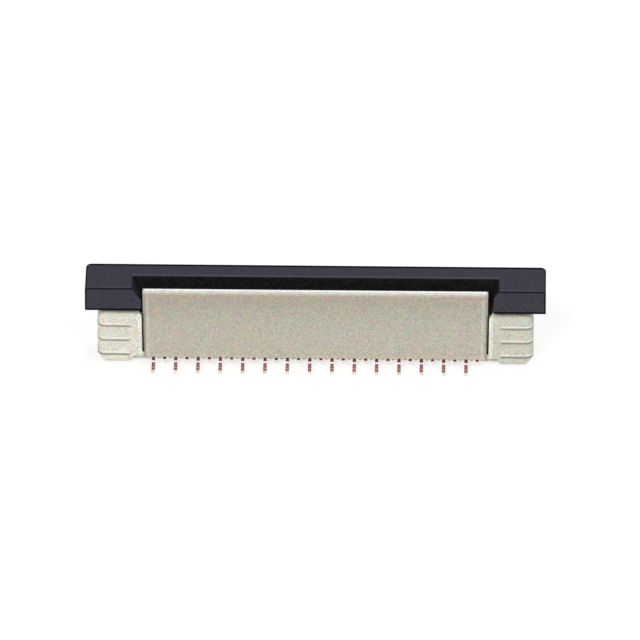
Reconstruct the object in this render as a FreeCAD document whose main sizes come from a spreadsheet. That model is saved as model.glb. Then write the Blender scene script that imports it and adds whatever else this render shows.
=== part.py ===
import FreeCAD, Part
import math
import os
import Sketcher

# Zero insertion force connector for a flat printed circuit, 30 contacts at 1 mm pitch,
# standing on a circuit board.  X runs along the row of contacts.  The tall wall with the
# insertion slot is at -Y, the bar of the slider at +Y, and Z points away from the board.
# The origin lies on the board surface, in the middle of the footprint.

DIMENSIONS = (
    ("contact_count", 30, "number of contacts in the row"),
    ("pitch", 1.0, "distance from one contact to the next"),
    ("body_depth", 4.30, "outer face of the slot wall to outer face of the bar wall"),
    ("end_margin", 0.83, "last contact axis to the foot of the wall ends"),
    ("end_draft", 0.12, "lean of the wall ends from foot to top"),
    ("wall_edge", 0.72, "lower edge of both long walls above the board"),
    ("slot_wall_top", 7.71, "top of the slot wall above the board"),
    ("slot_wall", 0.48, "thickness of the slot wall"),
    ("bar_wall_top", 5.27, "top of the bar wall and of the end blocks"),
    ("cavity_width", 2.12, "inner face of the slot wall to inner face of the bar wall"),
    ("cavity_floor", 1.90, "floor of the cavity above the board"),
    ("cavity_margin", 0.50, "last contact axis to the end of the cavity"),
    ("wall_rounding", 0.12, "rounding of the long upper edges"),
    ("slit_width", 0.15, "slit between a long wall and the end block"),
    ("slit_depth", 0.45, "depth of that slit from the outer face"),
    ("slit_foot", 0.50, "unslit height above the lower edge of the wall"),
    ("slit_funnel", 0.28, "bevel at the top of the slit"),
    ("block_length", 3.97, "length of an end block along the row"),
    ("block_setback", 0.15, "face of an end block behind the wall face"),
    ("block_corner", 0.60, "upright outer corner of an end block"),
    ("block_shoulder", 0.75, "outer top corner of an end block"),
    ("foot_height", 0.20, "underside of the feet and ribs above the board"),
    ("foot_start", 0.80, "inner face of the block to the step of its foot"),
    ("foot_ramp", 0.25, "run of the sloped step of the foot"),
    ("foot_bevel", 0.60, "bevel on the outer lower corner of the foot"),
    ("ridge_count", 3, "grip ridges on an end block"),
    ("ridge_first", 0.84, "underside of the lowest ridge above the board"),
    ("ridge_spacing", 1.50, "distance from one ridge to the next"),
    ("ridge_thickness", 0.13, "height of one ridge"),
    ("ridge_relief", 0.07, "how far a ridge stands out of the block"),
    ("ridge_start", 1.12, "inner face of the block to the start of a ridge"),
    ("rib_width", 0.40, "rib between two contacts on the underside"),
    ("rib_bevel", 0.12, "bevelled ends of a rib"),
    ("rib_setback_slot", 0.60, "rib end behind the slot wall face"),
    ("rib_setback_bar", 0.42, "rib end behind the bar wall face"),
    ("edge_land", 0.28, "width of the wall edge left outside the underside groove"),
    ("recess_top", 1.10, "top of the wide part of a contact slot"),
    ("groove_width", 0.50, "groove in a wall for the arm of a contact"),
    ("groove_skin", 0.20, "skin of the slot wall outside the grooves"),
    ("groove_roof", 0.14, "closed top above a groove in the slot wall"),
    ("rear_groove", 0.42, "depth of a groove in the bar wall"),
    ("rear_groove_top", 5.00, "top of a groove in the bar wall"),
    ("contact_thickness", 0.30, "sheet thickness of a contact"),
    ("contact_clearance", 0.02, "gap between a contact and its slot, each side"),
    ("base_bottom", 0.34, "underside of a contact base above the board"),
    ("base_top", 1.50, "top of a contact base above the board"),
    ("base_inset_slot", 0.25, "contact base behind the slot wall face"),
    ("base_inset_bar", 0.42, "contact base behind the bar wall face"),
    ("stub_length", 0.20, "stub of a contact beyond the wall face"),
    ("neck_length", 0.40, "neck of a solder tail beyond the wall face"),
    ("stub_top", 0.62, "top of the stub and of the tail neck"),
    ("tail_length", 1.65, "solder tail beyond the wall face"),
    ("tail_height", 0.25, "height of the solder tail on the board"),
    ("tail_drop", 0.32, "run of the slope from the neck down to the tail"),
    ("tail_tip", 0.08, "bevel round the tip of a tail"),
    ("notch_radius", 0.30, "round notch in the underside of a contact base"),
    ("notch_place", 0.31, "notch centre from the middle of the connector"),
    ("arm_width", 0.22, "front arm of a contact"),
    ("arm_top", 7.30, "top of the front arm above the board"),
    ("bump_level", 4.20, "centre of the contact point above the board"),
    ("bump_half", 0.38, "half height of the contact point"),
    ("bump_flat", 0.24, "flat on the contact point"),
    ("bump_reach", 0.26, "how far the contact point stands out"),
    ("rear_arm_gap", 0.05, "rear arm behind the tongue of the slider"),
    ("rear_arm_width", 0.28, "rear arm of a contact"),
    ("rear_arm_top", 4.70, "top of the rear arm above the board"),
    ("slider_gap", 0.37, "slider above the end blocks when it is shut"),
    ("slider_height", 2.33, "height of the slider bar"),
    ("slider_depth", 4.22, "depth of the slider over its ears"),
    ("slider_overhang", 1.15, "slider beyond the end block"),
    ("slider_corner", 0.50, "upright rear corner of the slider"),
    ("slider_edge", 0.22, "rounding on the ends and the rear of the slider's top"),
    ("bar_thickness", 2.15, "depth of the slider bar between the ears"),
    ("notch_margin", 1.92, "last contact axis to the side of the slider notch, at the top"),
    ("notch_margin_left", 1.08, "the same at the left, below the bevel"),
    ("notch_margin_right", 1.45, "the same at the right, below the bevel"),
    ("notch_slope", 1.50, "height of that bevel for each millimetre of its width"),
    ("tongue_gap", 0.25, "contact point to the wedge tongue when it is shut"),
    ("tongue_neck", 0.23, "back of the tongue behind the front of the bar"),
    ("tongue_bottom", 3.00, "tip of the tongue above the board"),
    ("tongue_taper", 1.20, "height of the tapered tip"),
    ("tongue_relief", 0.40, "how far the tapered tip lies back from the circuit"),
    ("tongue_lead", 0.15, "bevel at the rear of the tip"),
    ("tongue_clearance", 0.10, "tongue to the end of the cavity"),
    ("leg_start", 1.00, "inner face of the block to the slider leg"),
    ("leg_width", 1.60, "slider leg along the row"),
    ("leg_depth", 1.20, "slider leg across the row"),
    ("leg_bottom", 3.20, "end of a slider leg above the board"),
    ("leg_clearance", 0.10, "gap round a slider leg"),
    ("hook_reach", 0.15, "hook on the slider leg"),
    ("hook_height", 0.40, "height of that hook"),
    ("slider_travel", 1.00, "upward travel that opens the slider"),
    ("nail_edge", 0.17, "edge of the hold-down plate inside the block end"),
    ("nail_length", 3.18, "hold-down plate along the row"),
    ("nail_depth", 2.80, "hold-down plate across the row"),
    ("nail_bevel", 0.50, "bevelled corners of the hold-down plate"),
    ("nail_tab_length", 0.50, "inner tab of the hold-down plate"),
    ("nail_tab_width", 1.30, "width of that tab"),
    ("nail_thickness", 0.20, "sheet thickness of the hold-down plate"),
    ("nail_leg_width", 1.70, "upright leg of the hold-down plate"),
    ("nail_leg_height", 1.70, "top of that leg above the board"),
    ("nail_groove", 0.34, "groove in the foot that takes the leg"),
    ("nail_groove_length", 2.30, "that groove along the row"),
    ("nail_groove_top", 1.85, "top of that groove above the board"),
)

doc = FreeCAD.newDocument("fpc_connector")
sheet = doc.addObject("Spreadsheet::Sheet", "Dims")
for row, (alias, value, note) in enumerate(DIMENSIONS, start=1):
    sheet.set(f"A{row}", note)
    sheet.set(f"B{row}", str(value))
    sheet.setAlias(f"B{row}", alias)
doc.recompute()


class Sizes:
    """Gives the expression text of a cell, so that SIZE.pitch reads as Dims.pitch."""

    def __getattr__(self, alias):
        return f"Dims.{alias}"


SIZE = Sizes()
OVERLAP = "0.1"


def minus(text):
    return f"-({text})"


def wall_end_at(level):
    """Place of the leaning wall end at a level above the board."""
    return f"({WALL_END} + {SIZE.end_draft} * ({level} - {SIZE.wall_edge}) / {WALL_HEIGHT})"


def value_of(name):
    return float(sheet.get(name))


# Levels and places that several pieces share, as expressions of the cells.
SLOT_FACE = f"(-{SIZE.body_depth} / 2)"
BAR_FACE = f"({SIZE.body_depth} / 2)"
LAST_AXIS = f"(({SIZE.contact_count} - 1) * {SIZE.pitch} / 2)"
WALL_END = f"({LAST_AXIS} + {SIZE.end_margin})"
CAVITY_END = f"({LAST_AXIS} + {SIZE.cavity_margin})"
CAVITY_FRONT = f"({SLOT_FACE} + {SIZE.slot_wall})"
CAVITY_BACK = f"({CAVITY_FRONT} + {SIZE.cavity_width})"
BLOCK_START = f"({WALL_END} + {SIZE.slit_width})"
BLOCK_END = f"({BLOCK_START} + {SIZE.block_length})"
BLOCK_FACE = f"({BAR_FACE} - {SIZE.block_setback})"
RIB_FRONT = f"({SLOT_FACE} + {SIZE.rib_setback_slot})"
RIB_BACK = f"({BAR_FACE} - {SIZE.rib_setback_bar})"
SLIDER_BOTTOM = f"({SIZE.bar_wall_top} + {SIZE.slider_gap})"
SLIDER_TOP = f"({SLIDER_BOTTOM} + {SIZE.slider_height})"
SLIDER_BACK = f"({SLOT_FACE} + {SIZE.slider_depth})"
BAR_FRONT = f"({SLIDER_BACK} - {SIZE.bar_thickness})"
SLIDER_END = f"({BLOCK_END} + {SIZE.slider_overhang})"
WALL_HEIGHT = f"({SIZE.slot_wall_top} - {SIZE.wall_edge})"
SLOT_HALF = f"({SIZE.contact_thickness} / 2 + {SIZE.contact_clearance})"
ARM_FRONT = f"({SLOT_FACE} + {SIZE.base_inset_slot} + {SIZE.arm_width})"
TONGUE_FRONT = f"({ARM_FRONT} + {SIZE.bump_reach} + {SIZE.tongue_gap})"
TONGUE_BACK = f"({BAR_FRONT} + {SIZE.tongue_neck})"
REAR_ARM = f"({TONGUE_BACK} + {SIZE.rear_arm_gap})"


def new_body(name):
    body = doc.addObject("PartDesign::Body", name)
    body.Label = name
    return body


def origin_feature(body, role):
    return next(item for item in body.Origin.OriginFeatures if item.Role == role)


def add_arc(sketch, start, end, centre, turn):
    """Arc from start to end round the centre, to the left (1) or to the right (-1)."""
    first, last = (start, end) if turn > 0 else (end, start)
    angles = [math.atan2(p.y - centre.y, p.x - centre.x) for p in (first, last)]
    circle = Part.Circle(centre, FreeCAD.Vector(0, 0, 1), (start - centre).Length)
    return sketch.addGeometry(Part.ArcOfCircle(circle, angles[0], angles[1]))


def bind_point(sketch, edge, point, axis, text):
    value = float(sketch.evalExpression(text))
    bound = sketch.addConstraint(Sketcher.Constraint(axis, -1, 1, edge, point, value))
    sketch.setExpression(f"Constraints[{bound}]", text)


def add_outline(sketch, outline):
    """Closed outline of corners, each bound to its expressions.  A corner is (x, y); one that
    begins an arc is (x, y, centre_x, centre_y, turn)."""
    corners = [FreeCAD.Vector(*[float(sketch.evalExpression(text)) for text in corner[:2]], 0)
               for corner in outline]
    starts = []
    ends = []
    for index, corner in enumerate(outline):
        start = corners[index]
        end = corners[(index + 1) % len(outline)]
        if len(corner) == 2:
            edge = sketch.addGeometry(Part.LineSegment(start, end))
            starts.append((edge, 1))
            ends.append((edge, 2))
            continue
        centre_texts, turn = corner[2:4], corner[4]
        centre = FreeCAD.Vector(*[float(sketch.evalExpression(text)) for text in centre_texts], 0)
        edge = add_arc(sketch, start, end, centre, turn)
        starts.append((edge, 1 if turn > 0 else 2))
        ends.append((edge, 2 if turn > 0 else 1))
        across = abs(end.x - start.x) > abs(end.y - start.y)
        axis, text = ("DistanceY", centre_texts[1]) if across else ("DistanceX", centre_texts[0])
        bind_point(sketch, edge, 3, axis, text)
    for index, corner in enumerate(outline):
        edge, point = starts[index]
        sketch.addConstraint(Sketcher.Constraint("Coincident", *ends[index - 1], edge, point))
        bind_point(sketch, edge, point, "DistanceX", corner[0])
        bind_point(sketch, edge, point, "DistanceY", corner[1])


def add_sketch(body, name, role, outlines, offset="0"):
    sketch = body.newObject("Sketcher::SketchObject", f"{body.Name}_{name}")
    sketch.AttachmentSupport = [(origin_feature(body, role), "")]
    sketch.MapMode = "FlatFace"
    sketch.setExpression("AttachmentOffset.Base.z", offset)
    for outline in outlines:
        add_outline(sketch, outline)
    return sketch


def mirrored(outline):
    """The outline with its sides swapped: every x, centres too, and every turn changes sign."""
    result = []
    for corner in outline:
        if len(corner) == 2:
            result.append((minus(corner[0]), corner[1]))
        else:
            x, y, centre_x, centre_y, turn = corner
            result.append((minus(x), y, minus(centre_x), centre_y, -turn))
    return result


def both_sides(outline):
    """The outline and its mirror image across the YZ plane."""
    return [outline, mirrored(outline)]


def add_pad(body, name, sketch, length, symmetric=False):
    pad = body.newObject("PartDesign::Pad", f"{body.Name}_{name}")
    pad.Profile = sketch
    pad.SideType = "Symmetric" if symmetric else "One side"
    pad.setExpression("Length", length)
    sketch.Visibility = False
    return pad


def add_pocket(body, name, sketch, length, reverse=False):
    pocket = body.newObject("PartDesign::Pocket", f"{body.Name}_{name}")
    pocket.Profile = sketch
    pocket.Reversed = reverse
    pocket.setExpression("Length", length)
    sketch.Visibility = False
    return pocket


def place_box(box, low, high):
    for size, axis, start, end in zip(("Length", "Width", "Height"), "xyz", low, high):
        box.setExpression(f"Placement.Base.{axis}", start)
        box.setExpression(size, f"({end}) - ({start})")
    return box


def cut_box(body, name, low, high):
    return place_box(body.newObject("PartDesign::SubtractiveBox", f"{body.Name}_{name}"), low, high)


def repeat_along(body, name, originals, role, count, spacing):
    pattern = body.newObject("PartDesign::LinearPattern", f"{body.Name}_{name}")
    pattern.Originals = originals
    pattern.Direction = (origin_feature(body, role), [""])
    pattern.Mode = "Spacing"
    pattern.setExpression("Offset", spacing)
    pattern.setExpression("Occurrences", count)
    body.Tip = pattern
    return pattern


def edges_where(shape, test):
    """Names of the edges whose two ends and middle all pass the test."""
    names = []
    for number, edge in enumerate(shape.Edges, start=1):
        points = [vertex.Point for vertex in edge.Vertexes]
        points.append(edge.CenterOfMass)
        if all(test(point) for point in points):
            names.append(f"Edge{number}")
    return names


def add_fillet(body, name, base, test, radius):
    doc.recompute()
    fillet = body.newObject("PartDesign::Fillet", f"{body.Name}_{name}")
    fillet.Base = (base, edges_where(base.Shape, test))
    fillet.setExpression("Radius", radius)
    return fillet


def near(first, second):
    return abs(first - second) < 1e-4


def measure(text):
    """Number that an expression of the cells gives now."""
    return float(sheet.evalExpression(text.replace("Dims.", "")))


def rectangle(left, right, low, high):
    return [(left, low), (right, low), (right, high), (left, high)]


def make_housing():
    """One moulding: two long walls with the cavity between them, two end blocks with grip
    ridges, and a ribbed underside with a slot for each contact."""
    body = new_body("housing")
    section = add_sketch(body, "wall_section", "YZ_Plane", [[
        (SLOT_FACE, SIZE.wall_edge),
        (BAR_FACE, SIZE.wall_edge),
        (BAR_FACE, SIZE.bar_wall_top),
        (CAVITY_BACK, SIZE.bar_wall_top),
        (CAVITY_BACK, SIZE.cavity_floor),
        (CAVITY_FRONT, SIZE.cavity_floor),
        (CAVITY_FRONT, SIZE.slot_wall_top),
        (SLOT_FACE, SIZE.slot_wall_top),
    ]])
    longest = f"({WALL_END} + {SIZE.end_draft})"
    add_pad(body, "walls", section, f"2 * {longest}", symmetric=True)
    low = f"({SIZE.wall_edge} - {OVERLAP})"
    high = f"({SIZE.slot_wall_top} + {OVERLAP})"
    lean = [
        (wall_end_at(low), low),
        (f"{longest} + {OVERLAP}", low),
        (f"{longest} + {OVERLAP}", high),
        (wall_end_at(high), high),
    ]
    lean_sketch = add_sketch(body, "wall_ends", "XZ_Plane", both_sides(lean), BAR_FACE)
    walls = add_pocket(body, "wall_end_cuts", lean_sketch, SIZE.body_depth)
    edge_heights = (measure(SIZE.slot_wall_top), measure(SIZE.bar_wall_top))

    def upper_edge(point):
        return any(near(point.z, height) for height in edge_heights)

    add_fillet(body, "wall_edges", walls, upper_edge, SIZE.wall_rounding)

    profile = [
        (CAVITY_END, SIZE.wall_edge),
        (f"{BLOCK_START} + {SIZE.foot_start}", SIZE.wall_edge),
        (f"{BLOCK_START} + {SIZE.foot_start} + {SIZE.foot_ramp}", SIZE.foot_height),
        (f"{BLOCK_END} - {SIZE.foot_bevel}", SIZE.foot_height),
        (BLOCK_END, f"{SIZE.foot_height} + {SIZE.foot_bevel}"),
        (BLOCK_END, SIZE.bar_wall_top),
        (CAVITY_END, SIZE.bar_wall_top),
    ]
    block_sketch = add_sketch(body, "block_profile", "XZ_Plane", both_sides(profile))
    blocks = add_pad(body, "end_blocks", block_sketch, f"2 * {BLOCK_FACE}", symmetric=True)
    block_end = measure(BLOCK_END)
    block_face = measure(BLOCK_FACE)
    block_top = measure(SIZE.bar_wall_top)

    def upright_corner(point):
        return near(abs(point.x), block_end) and near(abs(point.y), block_face)

    corners = add_fillet(body, "block_corners", blocks, upright_corner, SIZE.block_corner)

    def outer_shoulder(point):
        return near(abs(point.x), block_end) and near(point.z, block_top)

    add_fillet(body, "block_shoulders", corners, outer_shoulder, SIZE.block_shoulder)
    add_ridges(body)
    add_slits(body)
    add_underside(body)
    add_leg_pockets(body)
    add_contact_slots(body)
    return body


def add_ridges(body):
    """Grip ridges that run round the front, end and back of both end blocks."""
    start = f"{BLOCK_START} + {SIZE.ridge_start}"
    end = f"{BLOCK_END} + {SIZE.ridge_relief}"
    face = f"{BLOCK_FACE} + {SIZE.ridge_relief}"
    corner = f"({SIZE.block_corner} + {SIZE.ridge_relief})"
    centre_x = f"{end} - {corner}"
    centre_y = f"({face} - {corner})"
    outline = [
        (start, minus(face)),
        (centre_x, minus(face), centre_x, minus(centre_y), 1),
        (end, minus(centre_y)),
        (end, centre_y, centre_x, centre_y, 1),
        (centre_x, face),
        (start, face),
    ]
    sketch = add_sketch(body, "ridge_outline", "XY_Plane", both_sides(outline), SIZE.ridge_first)
    ridge = add_pad(body, "ridge", sketch, SIZE.ridge_thickness)
    repeat_along(body, "ridges", [ridge], "Z_Axis", SIZE.ridge_count, SIZE.ridge_spacing)


def add_slits(body):
    """Narrow leaning slits between the long walls and the end blocks, with a bevelled mouth."""
    low = f"({SIZE.wall_edge} + {SIZE.slit_foot})"
    mouth = f"({SIZE.bar_wall_top} - {SIZE.slit_funnel})"
    high = f"({SIZE.bar_wall_top} + {OVERLAP})"
    funnel_end = f"{wall_end_at(mouth)} + {SIZE.slit_width} + {SIZE.slit_funnel}"
    outline = [
        (wall_end_at(low), low),
        (f"{wall_end_at(low)} + {SIZE.slit_width}", low),
        (f"{wall_end_at(mouth)} + {SIZE.slit_width}", mouth),
        (funnel_end, SIZE.bar_wall_top),
        (funnel_end, high),
        (wall_end_at(high), high),
    ]
    front = add_sketch(body, "slit_front", "XZ_Plane", both_sides(outline), BAR_FACE)
    add_pocket(body, "slits_front", front, SIZE.slit_depth)
    back = add_sketch(body, "slit_back", "XZ_Plane", both_sides(outline), SLOT_FACE)
    add_pocket(body, "slits_back", back, SIZE.slit_depth, reverse=True)


def add_underside(body):
    """Ribs with bevelled ends between the contacts, two wide end ribs, the grooves behind
    the wall edges, and the grooves in the feet for the hold-down plates."""
    rib_length = f"{SIZE.wall_edge} - {SIZE.foot_height} + {OVERLAP}"
    first = f"({SIZE.pitch} - {LAST_AXIS} - {SIZE.pitch} / 2)"
    half = f"{SIZE.rib_width} / 2"
    narrow = f"({half} - {SIZE.rib_bevel})"
    front = f"{RIB_FRONT} + {SIZE.rib_bevel}"
    back = f"{RIB_BACK} - {SIZE.rib_bevel}"
    outline = [
        (f"{first} - {narrow}", RIB_FRONT),
        (f"{first} + {narrow}", RIB_FRONT),
        (f"{first} + {half}", front),
        (f"{first} + {half}", back),
        (f"{first} + {narrow}", RIB_BACK),
        (f"{first} - {narrow}", RIB_BACK),
        (f"{first} - {half}", back),
        (f"{first} - {half}", front),
    ]
    rib_sketch = add_sketch(body, "rib_outline", "XY_Plane", [outline], SIZE.foot_height)
    rib = add_pad(body, "rib", rib_sketch, rib_length)
    repeat_along(body, "ribs", [rib], "X_Axis", f"{SIZE.contact_count} - 1", SIZE.pitch)

    start = f"{LAST_AXIS} + ({SIZE.pitch} - {SIZE.rib_width}) / 2"
    end = f"{BLOCK_START} + {SIZE.foot_start} + {SIZE.foot_ramp} + {OVERLAP}"
    outline = rectangle(start, end, RIB_FRONT, RIB_BACK)
    end_ribs = add_sketch(body, "end_ribs", "XY_Plane", both_sides(outline), SIZE.foot_height)
    add_pad(body, "end_rib_pads", end_ribs, rib_length)

    side = f"({start})"
    land = f"({BAR_FACE} - {SIZE.edge_land})"
    grooves = [
        rectangle(minus(side), side, minus(land), RIB_FRONT),
        rectangle(minus(side), side, RIB_BACK, land),
    ]
    edge_grooves = add_sketch(body, "edge_grooves", "XY_Plane", grooves, SIZE.wall_edge)
    depth = f"{SIZE.recess_top} - {SIZE.wall_edge}"
    add_pocket(body, "edge_groove_cuts", edge_grooves, depth, reverse=True)

    middle = f"({BLOCK_END} - {SIZE.nail_edge} - {SIZE.nail_length} / 2)"
    left = f"{middle} - {SIZE.nail_groove_length} / 2"
    right = f"{middle} + {SIZE.nail_groove_length} / 2"
    inner = f"({SIZE.nail_depth} / 2 - {SIZE.nail_thickness} - {SIZE.contact_clearance})"
    outer = f"({inner} + {SIZE.nail_groove})"
    grooves = both_sides(rectangle(left, right, minus(outer), minus(inner)))
    grooves += both_sides(rectangle(left, right, inner, outer))
    foot_grooves = add_sketch(body, "foot_grooves", "XY_Plane", grooves, SIZE.foot_height)
    depth = f"{SIZE.nail_groove_top} - {SIZE.foot_height}"
    add_pocket(body, "foot_groove_cuts", foot_grooves, depth, reverse=True)


def add_leg_pockets(body):
    """Pockets in the end blocks in which the hooked legs of the slider travel."""
    gap = SIZE.leg_clearance
    left = f"{BLOCK_START} + {SIZE.leg_start} - {gap}"
    right = f"{BLOCK_START} + {SIZE.leg_start} + {SIZE.leg_width} + {gap}"
    wide = f"{right} + {SIZE.hook_reach}"
    stop = f"{SIZE.leg_bottom} + {SIZE.hook_height} + {SIZE.slider_travel} + {gap}"
    top = f"{SIZE.bar_wall_top} + {OVERLAP}"
    low = f"{SIZE.leg_bottom} - {gap}"
    outline = [(left, low), (wide, low), (wide, stop), (right, stop), (right, top), (left, top)]
    half = f"({SIZE.leg_depth} / 2 + {gap})"
    sketch = add_sketch(body, "leg_pocket", "XZ_Plane", both_sides(outline), half)
    add_pocket(body, "leg_pockets", sketch, f"2 * {half}")


def add_contact_slots(body):
    """Slot in the underside and grooves in both walls for one contact, repeated."""
    axis = f"-{LAST_AXIS}"
    clear = SIZE.contact_clearance
    groove = f"({SIZE.groove_width} / 2)"
    recess = f"(({SIZE.pitch} - {SIZE.rib_width}) / 2)"
    front = f"({SLOT_FACE} + {SIZE.base_inset_slot} - {clear})"
    back = f"({BAR_FACE} - {SIZE.base_inset_bar} + {clear})"
    land = f"({BAR_FACE} - {SIZE.edge_land})"
    cuts = (
        ("slot_recess", recess, minus(land), land, SIZE.foot_height, SIZE.recess_top),
        ("slot_base", SLOT_HALF, front, back, SIZE.wall_edge, SIZE.base_top),
        ("front_groove", groove, f"{SLOT_FACE} + {SIZE.groove_skin}",
         f"{CAVITY_FRONT} + {OVERLAP}", SIZE.base_top,
         f"{SIZE.slot_wall_top} - {SIZE.groove_roof}"),
        ("rear_groove", groove, f"{REAR_ARM} - {clear}",
         f"{CAVITY_BACK} + {SIZE.rear_groove}", SIZE.base_top, SIZE.rear_groove_top),
    )
    features = []
    for name, half, y_low, y_high, z_low, z_high in cuts:
        low = (f"{axis} - {half}", y_low, z_low)
        high = (f"{axis} + {half}", y_high, z_high)
        features.append(cut_box(body, name, low, high))
    repeat_along(body, "contact_slots", features, "X_Axis", SIZE.contact_count, SIZE.pitch)


def contact_end(side, is_tail):
    """Corners from the underside of the base out to the end of the contact on one side
    and back to the top of the base: a short stub, or a neck that drops to a solder tail."""
    inset = SIZE.base_inset_bar if side > 0 else SIZE.base_inset_slot
    face = BAR_FACE
    stub = f"{face} + {SIZE.stub_length}"
    neck = f"{face} + {SIZE.neck_length}"
    tip = f"{face} + {SIZE.tail_length}"
    if is_tail:
        corners = [
            (f"{neck} - {SIZE.tail_drop} / 2", SIZE.base_bottom),
            (f"{neck} + {SIZE.tail_drop} / 2", "0"),
            (f"{tip} - {SIZE.tail_tip}", "0"),
            (tip, SIZE.tail_tip),
            (tip, SIZE.tail_height),
            (f"{neck} + {SIZE.tail_drop}", SIZE.tail_height),
            (neck, SIZE.stub_top),
        ]
    else:
        corners = [(stub, SIZE.base_bottom), (stub, SIZE.stub_top)]
    corners.append((f"{face} - {inset}", SIZE.stub_top))
    if side > 0:
        return corners
    return [(minus(place), level) for place, level in reversed(corners)]


def make_contact(number, tail_side):
    """Stamped fork: a base with a round notch, two upright arms, a stub on one side and a
    solder tail on the other."""
    body = new_body(f"contact_{number:02d}")
    rear_back = f"({REAR_ARM} + {SIZE.rear_arm_width})"
    bump = f"{ARM_FRONT} + {SIZE.bump_reach}"
    outline = [
        (f"{SIZE.notch_place} - {SIZE.notch_radius}", SIZE.base_bottom,
         SIZE.notch_place, SIZE.base_bottom, -1),
        (f"{SIZE.notch_place} + {SIZE.notch_radius}", SIZE.base_bottom),
    ]
    outline += contact_end(1, tail_side > 0)
    outline += [
        (f"{BAR_FACE} - {SIZE.base_inset_bar}", SIZE.base_top),
        (rear_back, SIZE.base_top),
        (rear_back, f"{SIZE.rear_arm_top} - {SIZE.rear_arm_width}"),
        (f"{REAR_ARM} + {SIZE.rear_arm_width} / 2", SIZE.rear_arm_top),
        (REAR_ARM, SIZE.rear_arm_top),
        (REAR_ARM, SIZE.base_top),
        (ARM_FRONT, SIZE.base_top),
        (ARM_FRONT, f"{SIZE.bump_level} - {SIZE.bump_half}"),
        (bump, f"{SIZE.bump_level} - {SIZE.bump_flat} / 2"),
        (bump, f"{SIZE.bump_level} + {SIZE.bump_flat} / 2"),
        (ARM_FRONT, f"{SIZE.bump_level} + {SIZE.bump_half}"),
        (ARM_FRONT, f"{SIZE.arm_top} - {SIZE.arm_width} / 2"),
        (f"{ARM_FRONT} - {SIZE.arm_width} / 2", SIZE.arm_top),
        (f"{SLOT_FACE} + {SIZE.base_inset_slot}", SIZE.arm_top),
    ]
    outline += contact_end(-1, tail_side < 0)
    sketch = add_sketch(body, "profile", "YZ_Plane", [outline])
    blank = add_pad(body, "blank", sketch, SIZE.contact_thickness, symmetric=True)
    tip = measure(f"{BAR_FACE} + {SIZE.tail_length}")
    side = measure(f"{SIZE.contact_thickness} / 2")

    def tail_corner(point):
        return near(point.y * tail_side, tip) and near(abs(point.x), side)

    doc.recompute()
    chamfer = body.newObject("PartDesign::Chamfer", f"{body.Name}_tip")
    chamfer.Base = (blank, edges_where(blank.Shape, tail_corner))
    chamfer.setExpression("Size", SIZE.tail_tip)
    body.setExpression("Placement.Base.x", f"{number - 1} * {SIZE.pitch} - {LAST_AXIS}")
    return body


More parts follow.
